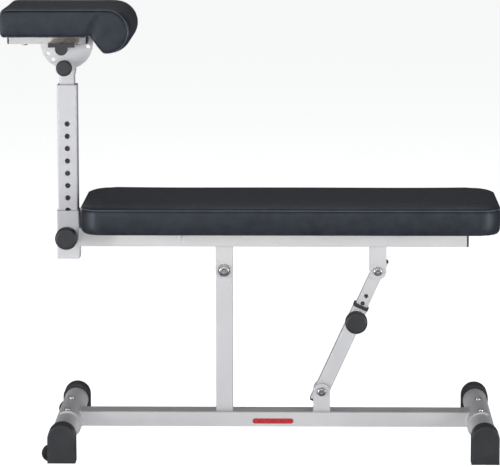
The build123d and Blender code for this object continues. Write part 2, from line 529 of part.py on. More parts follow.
def make_head():
    """Write every node that tilts with the arm pad."""
    tube = rod_y(PIVOT_TUBE_R, HEAD_X, HEAD_Z, (-PIVOT_TUBE_HALF, PIVOT_TUBE_HALF))
    bore_r = PIVOT_TUBE_R - WALL
    tube -= rod_y(bore_r, HEAD_X, HEAD_Z, (-PIVOT_TUBE_HALF - 1, PIVOT_TUBE_HALF + 1))
    save("pivot_tube", tube)
    solid_tube = rod_y(PIVOT_TUBE_R, HEAD_X, HEAD_Z, (-PIVOT_TUBE_HALF, PIVOT_TUBE_HALF))

    half_rail = HEAD_RAIL / 2
    rail_z = (HEAD_Z, HEAD_Z + HEAD_RAIL)
    rail = tube_x(HEAD_RAIL, HEAD_RAIL, HEAD_RAIL_X, HEAD_Z) - solid_tube
    screw_x = (-455.0, -349.0)
    for x in screw_x:
        rail -= rod_z(M6 + 0.3, x, 0, (HEAD_Z - 5, rail_z[1] + 1))
    save("head_rail", rail)
    caps = [plug_x(HEAD_RAIL, rail_z, x, way, 8, 3.5) for x, way in zip(HEAD_RAIL_X, (-1, 1))]
    save("head_rail_caps", *caps)

    disc_y = (half_rail, half_rail + 4)
    disc = rod_y(DISC_R, HEAD_X, HEAD_Z, disc_y)
    disc -= span_box((HEAD_X - 60, HEAD_X + 60), (0, 30), (rail_z[1], rail_z[1] + 60))
    disc -= solid_tube
    for angle in DISC_HOLE_ANGLES:
        hole_x = HEAD_X + DISC_HOLE_CIRCLE * cos(radians(angle))
        hole_z = HEAD_Z + DISC_HOLE_CIRCLE * sin(radians(angle))
        disc -= rod_y(M8 + 0.3, hole_x, hole_z, (0, 30))
    save("index_disc", disc)

    boss_end = CLEVIS_GAP / 2 + CLEVIS_THICK + CLEVIS_BOSS
    collar = rod_y(16, HEAD_X, HEAD_Z, (boss_end + 0.4, boss_end + 4.4))
    save("pivot_collar", collar - solid_tube)

    flats, plugs = [], []
    for side, flat_start in ((-1, half_rail), (1, boss_end + 5)):
        span_y = sorted((side * flat_start, side * PIVOT_TUBE_HALF))
        end_y = sorted((side * PIVOT_TUBE_HALF, side * (PIVOT_TUBE_HALF + 3)))
        spigot_y = (side * (PIVOT_TUBE_HALF - 14), side * PIVOT_TUBE_HALF)
        end_disc = rod_y(PIVOT_TUBE_R, HEAD_X, HEAD_Z, end_y)
        plugs.append(end_disc + rod_y(bore_r - 0.1, HEAD_X, HEAD_Z, spigot_y))
        for way in (-1, 1):
            span_x = sorted((HEAD_X, HEAD_X + way * FLAT_WIDTH / 2))
            flats.append(span_box(span_x, span_y, FLAT_Z) - solid_tube)
            end_cap = span_box(span_x, end_y, FLAT_Z)
            plugs.append(end_cap - end_disc)
    save("cross_flats", *flats)
    save("cross_bar_plugs", *plugs)

    board_x = (ARM_PAD_X + BOARD_INSET, ROLL_SLOPE_X - 4)
    board_half = ARM_PAD_HALF - BOARD_INSET
    board_z = (rail_z[1], rail_z[1] + BOARD_THICK)
    board = span_box(board_x, (-board_half, board_half), board_z)
    pocket = span_box(board_x, (-board_half, board_half), (rail_z[1] - 5, board_z[1]))
    screws = []
    for x in screw_x:
        screw_z = (HEAD_Z, board_z[0] + 9)
        board -= rod_z(M6, x, 0, (screw_z[0], screw_z[1]))
        head = rod_z(M6 * 1.9, x, 0, (HEAD_Z - 3, HEAD_Z))
        head = fillet(head.edges().filter_by(GeomType.CIRCLE).sort_by(Axis.Z)[0], 2)
        screws.append(rod_z(M6, x, 0, screw_z) + head)
    save("arm_pad_board", board)
    save("arm_pad_screws", *screws)
    pad = Pos(0, ARM_PAD_HALF, 0) * extrude(arm_pad_outline(), amount=2 * ARM_PAD_HALF)
    for end in (0, -1):
        pad = fillet(pad.faces().sort_by(Axis.Y)[end].edges(), 7)
    save("arm_pad_cushion", pad - pocket)


os.makedirs("parts", exist_ok=True)
make_base()
make_strut()
make_seat_frame()
make_post()
make_head()
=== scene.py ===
"""Looks of the adjustable weight bench: materials, upholstery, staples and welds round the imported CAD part.

Metres, +Z up, +X towards the free end of the seat. Lengths written with the factor MM are in millimetres.
"""
import json
from math import asin, cos, pi, radians, sin

import bmesh
import bpy
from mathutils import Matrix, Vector
from mathutils.bvhtree import BVHTree
from mathutils.kdtree import KDTree


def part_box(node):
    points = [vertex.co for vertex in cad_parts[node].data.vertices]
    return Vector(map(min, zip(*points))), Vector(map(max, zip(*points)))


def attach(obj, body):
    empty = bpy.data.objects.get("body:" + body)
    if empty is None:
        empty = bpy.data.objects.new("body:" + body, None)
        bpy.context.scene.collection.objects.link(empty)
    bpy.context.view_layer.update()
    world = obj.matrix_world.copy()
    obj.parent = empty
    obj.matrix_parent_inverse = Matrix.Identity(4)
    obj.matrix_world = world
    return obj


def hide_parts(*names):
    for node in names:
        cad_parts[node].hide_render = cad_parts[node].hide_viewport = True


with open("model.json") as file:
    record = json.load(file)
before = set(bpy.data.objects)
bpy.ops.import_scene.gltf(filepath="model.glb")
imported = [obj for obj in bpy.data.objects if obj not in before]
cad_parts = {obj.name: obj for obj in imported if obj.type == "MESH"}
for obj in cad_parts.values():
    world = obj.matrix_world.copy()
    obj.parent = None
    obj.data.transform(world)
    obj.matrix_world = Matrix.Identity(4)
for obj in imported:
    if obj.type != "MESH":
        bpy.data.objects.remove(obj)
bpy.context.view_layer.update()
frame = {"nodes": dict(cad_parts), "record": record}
nodes = frame["nodes"]
MM = 0.001


# ---- node helpers --------------------------------------------------------------------------------------
def new_material(name):
    """Empty node material with a Principled shader; returns the material, its tree and the shader."""
    material = bpy.data.materials.new(name)
    material.use_nodes = True
    tree = material.node_tree
    return material, tree, tree.nodes["Principled BSDF"]


def add(tree, kind, settings=None, **inputs):
    """Add a node; inputs are set by socket name with _ for a space, and an output socket is linked."""
    node = tree.nodes.new("ShaderNode" + kind)
    for key, value in (settings or {}).items():
        setattr(node, key, value)
    for key, value in inputs.items():
        feed(tree, node, key.replace("_", " "), value)
    return node


def feed(tree, node, socket, value):
    """Link an output socket to the node's named input, or set its value."""
    target = node.inputs[socket]
    if isinstance(value, bpy.types.NodeSocket):
        tree.links.new(value, target)
    else:
        target.default_value = value


def object_space(tree, stretch=(1, 1, 1)):
    """Object coordinates, stretched by a factor along each axis."""
    place = add(tree, "TexCoord").outputs["Object"]
    return add(tree, "Mapping", Vector=place, Scale=stretch).outputs["Vector"]


def noise(tree, place, scale, detail=3.0, roughness=0.5, distortion=0.0):
    """Noise value from 0 to 1; scale is in features per metre."""
    node = add(tree, "TexNoise", Vector=place, Scale=scale, Detail=detail, Roughness=roughness,
               Distortion=distortion)
    return node.outputs["Fac"]


def two_tone(tree, value, low, high, start=0.3, end=0.7):
    """Colour that goes from low to high as the value goes from start to end."""
    node = add(tree, "ValToRGB", Fac=value)
    for element, position, colour in zip(node.color_ramp.elements, (start, end), (low, high)):
        element.position = position
        element.color = (*colour, 1.0)
    return node.outputs["Color"]


def spread(tree, value, low, high):
    """Map 0..1 to low..high."""
    node = add(tree, "MapRange", Value=value)
    node.inputs["To Min"].default_value = low
    node.inputs["To Max"].default_value = high
    return node.outputs["Result"]


def weighted(tree, value, weight, base):
    """One value times a constant weight, added to another."""
    node = add(tree, "Math", {"operation": "MULTIPLY_ADD"})
    tree.links.new(value, node.inputs[0])
    node.inputs[1].default_value = weight
    tree.links.new(base, node.inputs[2])
    return node.outputs[0]


def bump(tree, height, strength, distance, normal=None):
    """Bump normal, on top of another if one is given; distance is the relief in metres."""
    node = add(tree, "Bump", Height=height, Strength=strength, Distance=distance)
    if normal is not None:
        tree.links.new(normal, node.inputs["Normal"])
    return node.outputs["Normal"]


def soft_edges(tree, radius):
    """Normal that rounds every sharp edge by this radius."""
    return add(tree, "Bevel", {"samples": 4}, Radius=radius).outputs["Normal"]


def surface(tree, shader, tone, rough, normal):
    """Link a colour, a roughness and a normal to the shader."""
    feed(tree, shader, "Base Color", tone)
    feed(tree, shader, "Roughness", rough)
    feed(tree, shader, "Normal", normal)


# ---- materials -----------------------------------------------------------------------------------------
def frame_paint():
    """Satin silver-grey powder coat with fine orange peel and a faint cloudiness."""
    material, tree, shader = new_material("frame_paint")
    place = object_space(tree)
    cloud = noise(tree, place, scale=9, detail=4, roughness=0.6)
    tone = two_tone(tree, cloud, (0.480, 0.482, 0.500), (0.525, 0.527, 0.546))
    peel = noise(tree, place, scale=900, detail=2, roughness=0.5)
    fine = noise(tree, place, scale=3500, detail=1, roughness=0.5)
    relief = weighted(tree, fine, 0.35, peel)
    rough = spread(tree, noise(tree, place, scale=40, detail=3), low=0.42, high=0.54)
    normal = bump(tree, relief, strength=0.25, distance=0.10 * MM, normal=soft_edges(tree, 0.9 * MM))
    surface(tree, shader, tone, rough, normal)
    shader.inputs["Metallic"].default_value = 0.15
    shader.inputs["Coat Weight"].default_value = 0.15
    shader.inputs["Coat Roughness"].default_value = 0.35
    return material


def grained_vinyl(name, tone_low, tone_high):
    """Upholstery vinyl with a fine leather grain: small cells, and creases between them."""
    material, tree, shader = new_material(name)
    place = object_space(tree)
    wander = add(tree, "TexNoise", Vector=place, Scale=260.0, Detail=2.0)
    bend = add(tree, "MixRGB", {"blend_type": "LINEAR_LIGHT"}, Fac=0.0015)
    tree.links.new(place, bend.inputs["Color1"])
    tree.links.new(wander.outputs["Color"], bend.inputs["Color2"])
    cells = add(tree, "TexVoronoi", {"feature": "DISTANCE_TO_EDGE"}, Scale=620.0)
    tree.links.new(bend.outputs["Color"], cells.inputs["Vector"])
    crease = add(tree, "MapRange", {"interpolation_type": "SMOOTHSTEP"}, Value=cells.outputs["Distance"])
    crease.inputs["From Max"].default_value = 0.16
    pores = noise(tree, place, scale=2600, detail=2)
    height = weighted(tree, pores, 0.2, crease.outputs["Result"])
    cloud = noise(tree, place, scale=45, detail=5, roughness=0.65)
    tone = two_tone(tree, cloud, tone_low, tone_high)
    rough = spread(tree, noise(tree, place, scale=55, detail=3), low=0.38, high=0.50)
    surface(tree, shader, tone, rough, bump(tree, height, strength=0.35, distance=0.16 * MM))
    shader.inputs["Specular IOR Level"].default_value = 0.46
    shader.inputs["Specular Tint"].default_value = (0.78, 0.88, 1.0, 1.0)
    return material


def moulded_black(name, tone_low, tone_high, rough, grain):
    """Moulded black plastic or rubber with a spark-eroded grain."""
    material, tree, shader = new_material(name)
    place = object_space(tree)
    tone = two_tone(tree, noise(tree, place, scale=30, detail=3), tone_low, tone_high)
    relief = noise(tree, place, scale=grain, detail=3, roughness=0.6)
    uneven = spread(tree, noise(tree, place, scale=90, detail=3), low=rough - 0.05, high=rough + 0.06)
    normal = bump(tree, relief, strength=0.35, distance=0.08 * MM, normal=soft_edges(tree, 0.7 * MM))
    surface(tree, shader, tone, uneven, normal)
    return material


def bright_metal(name, tone, rough_low, rough_high, edge):
    """Plated or drawn steel: faint mottling in colour and roughness, and fine brush lines."""
    material, tree, shader = new_material(name)
    place = object_space(tree)
    dark = tuple(0.8 * c for c in tone)
    mottle = noise(tree, place, scale=160, detail=4, roughness=0.6)
    lines = noise(tree, object_space(tree, (1, 1, 12)), scale=1500, detail=2)
    normal = bump(tree, lines, strength=0.2, distance=0.05 * MM, normal=soft_edges(tree, edge))
    rough = spread(tree, mottle, rough_low, rough_high)
    surface(tree, shader, two_tone(tree, mottle, dark, tone), rough, normal)
    shader.inputs["Metallic"].default_value = 1.0
    return material


def plywood():
    """Birch plywood: long grain on the faces, and thin plies that show on the edges."""
    material, tree, shader = new_material("plywood")
    grain = noise(tree, object_space(tree, (4, 90, 1)), scale=6, detail=8, roughness=0.62, distortion=0.6)
    face = two_tone(tree, grain, (0.56, 0.47, 0.34), (0.74, 0.65, 0.51))
    plies = add(tree, "TexWave", {"bands_direction": "Z"}, Vector=object_space(tree), Scale=115.0,
                Distortion=0.4)
    edge = two_tone(tree, plies.outputs["Fac"], (0.36, 0.26, 0.16), (0.66, 0.54, 0.38), 0.35, 0.65)
    normal = add(tree, "NewGeometry").outputs["Normal"]
    upright = add(tree, "SeparateXYZ", Vector=normal).outputs["Z"]
    flat = add(tree, "Math", {"operation": "ABSOLUTE"})
    tree.links.new(upright, flat.inputs[0])
    mix = add(tree, "MixRGB", Fac=flat.outputs[0])
    tree.links.new(edge, mix.inputs["Color1"])
    tree.links.new(face, mix.inputs["Color2"])
    rough = spread(tree, grain, low=0.62, high=0.78)
    surface(tree, shader, mix.outputs["Color"], rough, bump(tree, grain, strength=0.3, distance=0.15 * MM))
    return material


def red_enamel():
    """Glossy red plate with a faint cloud in the colour."""
    material, tree, shader = new_material("red_enamel")
    place = object_space(tree)
    tone = two_tone(tree, noise(tree, place, scale=120, detail=3), (0.36, 0.016, 0.018), (0.43, 0.022, 0.025))
    rough = spread(tree, noise(tree, place, scale=300, detail=2), low=0.24, high=0.32)
    relief = noise(tree, place, scale=700, detail=2)
    normal = bump(tree, relief, strength=0.1, distance=0.05 * MM, normal=soft_edges(tree, 0.3 * MM))
    surface(tree, shader, tone, rough, normal)
    shader.inputs["Coat Weight"].default_value = 0.4
    shader.inputs["Coat Roughness"].default_value = 0.1
    return material


def studio_white():
    """Matt white paper that glows, so that it shows as white as its surround."""
    material, tree, shader = new_material("studio_white")
    cloud = noise(tree, object_space(tree), scale=2, detail=2)
    tone = two_tone(tree, cloud, (0.86, 0.86, 0.865), (0.88, 0.88, 0.88))
    feed(tree, shader, "Base Color", tone)
    shader.inputs["Roughness"].default_value = 0.9
    shader.inputs["Specular IOR Level"].default_value = 0.1
    shader.inputs["Emission Color"].default_value = (1, 1, 1, 1)
    shader.inputs["Emission Strength"].default_value = 0.85
    return material


MATERIALS = {
    "frame_paint": frame_paint(),
    "black_vinyl": grained_vinyl("black_vinyl", (0.0105, 0.0118, 0.0170), (0.0215, 0.0232, 0.0315)),
    "black_plastic": moulded_black("black_plastic", (0.020, 0.021, 0.024), (0.028, 0.029, 0.033), 0.44, 1400),
    "wheel_rubber": moulded_black("wheel_rubber", (0.012, 0.012, 0.013), (0.020, 0.020, 0.021), 0.68, 900),
    "zinc_steel": bright_metal("zinc_steel", (0.60, 0.60, 0.61), 0.26, 0.42, 0.4 * MM),
    "spring_steel": bright_metal("spring_steel", (0.34, 0.34, 0.35), 0.3, 0.45, 0.1 * MM),
    "plywood": plywood(),
    "red_enamel": red_enamel(),
}

# paler than the covers: a painted highlight along the seam's ridge
SEAM_HIGHLIGHT_VINYL = grained_vinyl("welt_vinyl_painted_highlight", (0.050, 0.054, 0.064), (0.066, 0.070, 0.082))


def dress(mesh, material):
    """Leave a mesh with one material."""
    mesh.materials.clear()
    mesh.materials.append(material)


for subpart in frame["record"]["subparts"]:
    dress(nodes[subpart["node"]].data, MATERIALS[subpart["material_slot"]])


# ---- mesh helpers --------------------------------------------------------------------------------------
# a direction that no seam or weld runs along
OFF_AXIS = Vector((0.13, 0.27, 0.95))


def add_piece(name, points, faces, body, slot, smooth=True):
    """New mesh piece from points and faces, riding on a body with the finish of a slot."""
    mesh = bpy.data.meshes.new(name)
    mesh.from_pydata([tuple(p) for p in points], [], faces)
    mesh.validate()
    piece = bpy.data.objects.new(name, mesh)
    bpy.context.scene.collection.objects.link(piece)
    build = bmesh.new()
    build.from_mesh(mesh)
    bmesh.ops.recalc_face_normals(build, faces=build.faces)
    build.to_mesh(mesh)
    build.free()
    mesh.shade_smooth() if smooth else mesh.shade_flat()
    mesh.materials.append(MATERIALS[slot])
    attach(piece, body)
    return piece


def tube_along(path, radius, closed, sides=8, ripple=0.0, pitch=2 * MM):
    """Points and faces of a round bead along a path, with cast ripples at the given pitch."""
    count = len(path)
    points, faces = [], []
    travelled = 0.0
    for i, at in enumerate(path):
        ahead = path[(i + 1) % count] if closed or i < count - 1 else at
        behind = path[i - 1] if closed or i > 0 else at
        along = (ahead - behind).normalized()
        side = along.cross(OFF_AXIS).normalized()
        up = side.cross(along)
        travelled += (at - behind).length if i else 0.0
        wave = 1.0 + ripple * abs(sin(pi * travelled / pitch))
        for k in range(sides):
            angle = 2 * pi * k / sides
            points.append(at + (side * cos(angle) + up * sin(angle)) * radius * wave)
    for i in range(count if closed else count - 1):
        here, there = i * sides, ((i + 1) % count) * sides
        for k in range(sides):
            nxt = (k + 1) % sides
            faces.append((here + k, here + nxt, there + nxt, there + k))
    if not closed:
        faces.append(tuple(range(sides)))
        faces.append(tuple(range((count - 1) * sides, count * sides)))
    return points, faces


def divided(corners, step, closed):
    """A polyline's points, no further apart than step."""
    out = []
    pairs = list(zip(corners, corners[1:] + corners[:1])) if closed else list(zip(corners, corners[1:]))
    for start, end in pairs:
        parts = max(1, round((end - start).length / step))
        out += [start.lerp(end, i / parts) for i in range(parts)]
    return out if closed else out + [corners[-1]]


# ---- upholstery ----------------------------------------------------------------------------------------
CLOTH = {"quality": 6, "mass": 0.3, "tension_stiffness": 18, "compression_stiffness": 18,
         "shear_stiffness": 8, "bending_stiffness": 1.5, "pin_stiffness": 1.0,
         "use_pressure": True, "uniform_pressure_force": 4.0}
CLOTH_FRAMES = 20
MOVE_LIMIT = 6 * MM
SMOOTH_FACTOR, SMOOTH_TIMES = 0.5, 3
CORNER_PARTS = 16
HEM_WIDTH = 19.6 * MM
COVER_DROP = 1.2 * MM
GROOVE_WIDTH, GROOVE_DEPTH = 4 * MM, 0.9 * MM
WELT_LIFT = 1.0 * MM


def arc(x, y, radius, start, end, count):
    """Points of a 2-D arc between two angles in degrees, both ends included."""
    angles = [radians(start + (end - start) * i / count) for i in range(count + 1)]
    return [(x + radius * cos(a), y + radius * sin(a)) for a in angles]


def rounded_plan(centre, half, radius, inset, spacing):
    """Closed rounded rectangle in plan, inset on every side, divided about every spacing."""
    reach = (half[0] - inset, half[1] - inset)
    r = max(radius - inset, 2 * MM)
    outline = []
    for quarter, (sx, sy) in enumerate(((1, 1), (-1, 1), (-1, -1), (1, -1))):
        x, y = centre[0] + sx * (reach[0] - r), centre[1] + sy * (reach[1] - r)
        outline += arc(x, y, r, 90 * quarter, 90 * quarter + 90, CORNER_PARTS)
    flat = [Vector((x, y, 0)) for x, y in outline]
    return divided(flat, spacing, True)


def rings_to_mesh(rings):
    """Closed form through rings of equal length, with an n-gon over the first and the last ring."""
    count = len(rings[0])
    points = [p for ring in rings for p in ring]
    faces = []
    for level in range(len(rings) - 1):
        low, high = level * count, (level + 1) * count
        faces += [(low + i, low + (i + 1) % count, high + (i + 1) % count, high + i) for i in range(count)]
    faces.append(tuple(range(count)))
    faces.append(tuple(range((len(rings) - 1) * count, len(rings) * count)))
    return points, faces


def apply_modifiers(piece):
    """Bake the modifiers into the mesh, so that none is left."""
    graph = bpy.context.evaluated_depsgraph_get()
    mesh = bpy.data.meshes.new_from_object(piece.evaluated_get(graph))
    piece.modifiers.clear()
    piece.data = mesh


def remesh(piece, voxel):
    """Even quads over the whole form."""
    modifier = piece.modifiers.new("Remesh", "REMESH")
    modifier.mode = "VOXEL"
    modifier.voxel_size = voxel
    apply_modifiers(piece)


def inflate(piece, held):
    """Cloth under air pressure; held(point) is 1 where a seam or the board holds the cover.

    No point ends up further than MOVE_LIMIT from where it started.
    """
    rest = [v.co.copy() for v in piece.data.vertices]
    group = piece.vertex_groups.new(name="held")
    for i, at in enumerate(rest):
        group.add([i], held(at), "REPLACE")
    cloth = piece.modifiers.new("Cloth", "CLOTH")
    for key, value in CLOTH.items():
        setattr(cloth.settings, key, value)
    cloth.settings.vertex_group_mass = "held"
    cloth.settings.effector_weights.gravity = 0.0
    cloth.collision_settings.use_collision = False
    scene = bpy.context.scene
    for step in range(1, CLOTH_FRAMES + 1):
        scene.frame_set(step)
    graph = bpy.context.evaluated_depsgraph_get()
    moved = [v.co.copy() for v in piece.evaluated_get(graph).data.vertices]
    piece.modifiers.clear()
    piece.vertex_groups.clear()
    for vertex, start, end in zip(piece.data.vertices, rest, moved):
        travel = end - start
        reached = MOVE_LIMIT * travel.length / (travel.length + MOVE_LIMIT)
        vertex.co = start + travel.normalized() * reached
    scene.frame_set(1)


def soften(piece, level):
    """Even out the voxel steps, and subdivide as many times as level says."""
    smooth = piece.modifiers.new("Smooth", "SMOOTH")
    smooth.factor = SMOOTH_FACTOR
    smooth.iterations = SMOOTH_TIMES
    if level:
        finer = piece.modifiers.new("Subdivision", "SUBSURF")
        finer.levels = finer.render_levels = level
    apply_modifiers(piece)
    piece.data.shade_smooth()


def surface_of(piece):
    """Search tree over the piece's surface."""
    corners = [v.co for v in piece.data.vertices]
    return BVHTree.FromPolygons(corners, [tuple(p.vertices) for p in piece.data.polygons])


def snapped(path, tree, lift):
    """The path's nearest points on a surface, lifted off it."""
    out = []
    for at in path:
        spot, normal, _, _ = tree.find_nearest(at)
        out.append(spot + normal * lift)
    return out


def press_groove(piece, path, width, depth):
    """Press the surface in along a path of close points, as a sewn seam does."""
    finder = KDTree(len(path))
    for i, at in enumerate(path):
        finder.insert(at, i)
    finder.balance()
    for vertex in piece.data.vertices:
        distance = finder.find(vertex.co)[2]
        if distance < width:
            fade = 1 - (distance / width) ** 2
            vertex.co -= vertex.normal * depth * fade * fade


def carve(piece, low, high):
    """Cut the box between two corners out of the piece."""
    cutter_mesh = bpy.data.meshes.new("cutter")
    build = bmesh.new()
    bmesh.ops.create_cube(build, size=1.0)
    build.to_mesh(cutter_mesh)
    build.free()
    cutter = bpy.data.objects.new("cutter", cutter_mesh)
    bpy.context.scene.collection.objects.link(cutter)
    cutter.location = (low + high) / 2
    cutter.scale = high - low
    cut = piece.modifiers.new("Cut", "BOOLEAN")
    cut.operation, cut.solver, cut.object = "DIFFERENCE", "EXACT", cutter
    bpy.context.view_layer.update()
    apply_modifiers(piece)
    bpy.data.objects.remove(cutter)
    bpy.data.meshes.remove(cutter_mesh)


def lie_flat(piece, z, reach):
    """Set the underside's points level at z, where they are within reach of it."""
    for vertex in piece.data.vertices:
        if abs(vertex.co.z - z) < reach and vertex.normal.z < -0.5:
            vertex.co.z = z


def pad_cover(name, form, body, replaced, board, voxel, held):
    """Upholstered pad on a board: voxel remesh of a closed form, air pressure, and one subdivision.

    The board's place is cut out of its underside, so that the board shows inside the hem.
    """
    cover = add_piece(name, *form, body, "black_vinyl")
    cover.parent = None
    board_low, board_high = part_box(board)
    margin = Vector((HEM_WIDTH, HEM_WIDTH, 0))
    # from well below the cover to 3 mm short of the board's upper face
    carve(cover, board_low + margin - Vector((0, 0, 20 * MM)), board_high - margin - Vector((0, 0, 3 * MM)))
    remesh(cover, voxel)
    inflate(cover, held)
    soften(cover, 1)
    lie_flat(cover, board_low.z - COVER_DROP, 2 * MM)
    dress(cover.data, MATERIALS["black_vinyl"])
    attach(cover, body)
    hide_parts(replaced)
    return cover


def seam(name, cover, path, body, welt):
    """Sewn edge: a groove in the cover, and in it a thin welt of the given radius."""
    line = snapped(path, surface_of(cover), 0)
    press_groove(cover, line, GROOVE_WIDTH, GROOVE_DEPTH)
    line = snapped(line, surface_of(cover), WELT_LIFT)
    piece = add_piece(name, *tube_along(line, welt, True), body, "black_vinyl")
    # the welt's paler vinyl is a painted highlight along the seam
    dress(piece.data, SEAM_HIGHLIGHT_VINYL)


# seat pad
SEAT_LOW, SEAT_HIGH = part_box("seat_cushion")
SEAT_CENTRE = ((SEAT_LOW.x + SEAT_HIGH.x) / 2, (SEAT_LOW.y + SEAT_HIGH.y) / 2)
SEAT_HALF = ((SEAT_HIGH.x - SEAT_LOW.x) / 2, (SEAT_HIGH.y - SEAT_LOW.y) / 2)
SEAT_CORNER = 46 * MM
SEAT_SEAM_Z = SEAT_LOW.z + 48.5 * MM
SEAT_SEAM_INSET = 1.5 * MM
SEAT_GRIP = 8 * MM
SEAT_EDGE = 12 * MM
SEAT_SEAM_BAND = 3.5 * MM
# (inset, height above the cushion's lower face) in mm, from the hem over the side to the top
SEAT_PROFILE = ((30, -2.6), (7, -2.6), (3.4, -1), (1.6, 4), (0.8, 14), (0.8, 28), (1.0, 40), (1.4, 47),
                (2.6, 50), (6, 52.5), (12, 54.5), (24, 56), (60, 57))


def seat_form():
    """Closed form of the seat pad before it is inflated: its outline, drawn in along the profile."""
    base = rounded_plan(SEAT_CENTRE, SEAT_HALF, SEAT_CORNER, 0, 8 * MM)
    rings = []
    for inset, height in SEAT_PROFILE:
        factor = [(SEAT_HALF[i] - inset * MM) / SEAT_HALF[i] for i in (0, 1)]
        ring = []
        for p in base:
            x = SEAT_CENTRE[0] + (p.x - SEAT_CENTRE[0]) * factor[0]
            y = SEAT_CENTRE[1] + (p.y - SEAT_CENTRE[1]) * factor[1]
            ring.append(Vector((x, y, SEAT_LOW.z + height * MM)))
        rings.append(ring)
    return rings_to_mesh(rings)


def seat_held(at):
    """1 at the board and along the sewn edge, 0 on the free cover."""
    on_board = at.z < SEAT_LOW.z + SEAT_GRIP
    past_side = max(abs(at[i] - SEAT_CENTRE[i]) - SEAT_HALF[i] for i in (0, 1))
    on_seam = past_side > -SEAT_EDGE and abs(at.z - SEAT_SEAM_Z) < SEAT_SEAM_BAND
    return 1.0 if on_board else 0.9 if on_seam else 0.0


seat_cover = pad_cover("seat_pad_cover", seat_form(), "seat_frame", "seat_cushion", "seat_board", 6 * MM,
                       seat_held)
seat_line = [p + Vector((0, 0, SEAT_SEAM_Z))
             for p in rounded_plan(SEAT_CENTRE, SEAT_HALF, SEAT_CORNER, SEAT_SEAM_INSET, 1.5 * MM)]
seam("seat_pad_seam", seat_cover, seat_line, "seat_frame", 1.5 * MM)

# arm pad
ARM_LOW, ARM_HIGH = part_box("arm_pad_cushion")
ARM_HALF = (ARM_HIGH.y - ARM_LOW.y) / 2
ROLL_R = 45 * MM
ROLL_AT = (ARM_HIGH.x - ROLL_R, ARM_HIGH.z - ROLL_R)
ARM_BASE_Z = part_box("head_rail")[1].z
ARM_CORNER, ARM_LOW_CORNER = 14 * MM, 6 * MM
ARM_ENTRY = 1.5 * MM
ARM_ROLL_DRAW, ARM_REST_DRAW = 10 * MM, 3.5 * MM
ARM_EDGE = 20 * MM
ARM_GRIP, ARM_SEAM_BAND = 6 * MM, 2.5 * MM
ARM_SEAM_INSET = 3 * MM
CREASE = Vector((16 * MM, 0, 32 * MM))
CREASE_WIDTH, CREASE_DEPTH = 15 * MM, 2.2 * MM
ROLL_FLAT_X = ARM_HIGH.x - 59 * MM
ROLL_SLOPE_X = ARM_HIGH.x - 85 * MM


def arm_outline(end, rest):
    """Side view of the arm pad, drawn in by end at the roll and by rest elsewhere."""
    left, low, high = ARM_LOW.x + rest, ARM_BASE_Z - COVER_DROP, ARM_HIGH.z - rest
    r = ROLL_R - rest / 2
    roll_x, roll_z = ROLL_AT[0] - end, high - r
    outline = arc(left + ARM_LOW_CORNER, low + ARM_LOW_CORNER, ARM_LOW_CORNER, 180, 270, 4)
    outline += [(ROLL_SLOPE_X, low), (ROLL_FLAT_X, roll_z - r)]
    outline += arc(roll_x, roll_z, r, -90, 90, 24)
    outline += arc(left + ARM_CORNER, high - ARM_CORNER, ARM_CORNER, 90, 180, 8)
    return divided([Vector((x, 0, z)) for x, z in outline], 4 * MM, True)


def same_count(outline, count):
    """The outline redivided into a fixed number of points at even steps."""
    lengths = [(b - a).length for a, b in zip(outline, outline[1:] + outline[:1])]
    total, out, i, used = sum(lengths), [], 0, 0.0
    for k in range(count):
        target = total * k / count
        while used + lengths[i] < target:
            used += lengths[i]
            i += 1
        out.append(outline[i].lerp(outline[(i + 1) % len(outline)], (target - used) / lengths[i]))
    return out


def arm_ring(y, end, rest, count=220):
    """The arm pad's outline at one distance across."""
    return [p + Vector((0, y, 0)) for p in same_count(arm_outline(end, rest), count)]


def arm_form():
    """Closed form of the arm pad before it is inflated: a rounded edge leads to each flat side panel."""
    stations = []
    for i in range(7):
        angle = 0.5 * pi * i / 6
        y, drawn = ARM_HALF - ARM_ENTRY - ARM_EDGE * (1 - sin(angle)), 1 - cos(angle)
        stations.append((y, ARM_ENTRY + ARM_ROLL_DRAW * drawn, ARM_ENTRY + ARM_REST_DRAW * drawn))
    rings = [arm_ring(-y, end, rest) for y, end, rest in reversed(stations)]
    rings += [arm_ring(y, end, rest) for y, end, rest in stations]
    return rings_to_mesh(rings)


def arm_held(at):
    """1 on the board and along both sewn edges."""
    on_board = at.z < ARM_BASE_Z + ARM_GRIP and at.x < ROLL_SLOPE_X - 4 * MM
    on_seam = abs(abs(at.y) - (ARM_HALF - 4 * MM)) < ARM_SEAM_BAND
    return 1.0 if on_board else 0.85 if on_seam else 0.0


arm_cover = pad_cover("arm_pad_cover", arm_form(), "head", "arm_pad_cushion", "arm_pad_board", 4.5 * MM,
                      arm_held)
for label, side in (("left", -1), ("right", 1)):
    corner = Vector((ROLL_SLOPE_X, side * ARM_HALF, ARM_BASE_Z))
    press_groove(arm_cover, divided([corner, corner + CREASE], 2 * MM, False), CREASE_WIDTH, CREASE_DEPTH)
    edge_line = arm_ring(side * (ARM_HALF - ARM_SEAM_INSET), 8.5 * MM, 3.5 * MM, 460)
    seam(f"arm_pad_{label}_seam", arm_cover, edge_line, "head", 1.2 * MM)


# ---- staples -------------------------------------------------------------------------------------------
STAPLE_CROWN, STAPLE_WIRE, STAPLE_STEP = 10 * MM, 1.2 * MM, 38 * MM
STAPLE_SKEW = 0.22


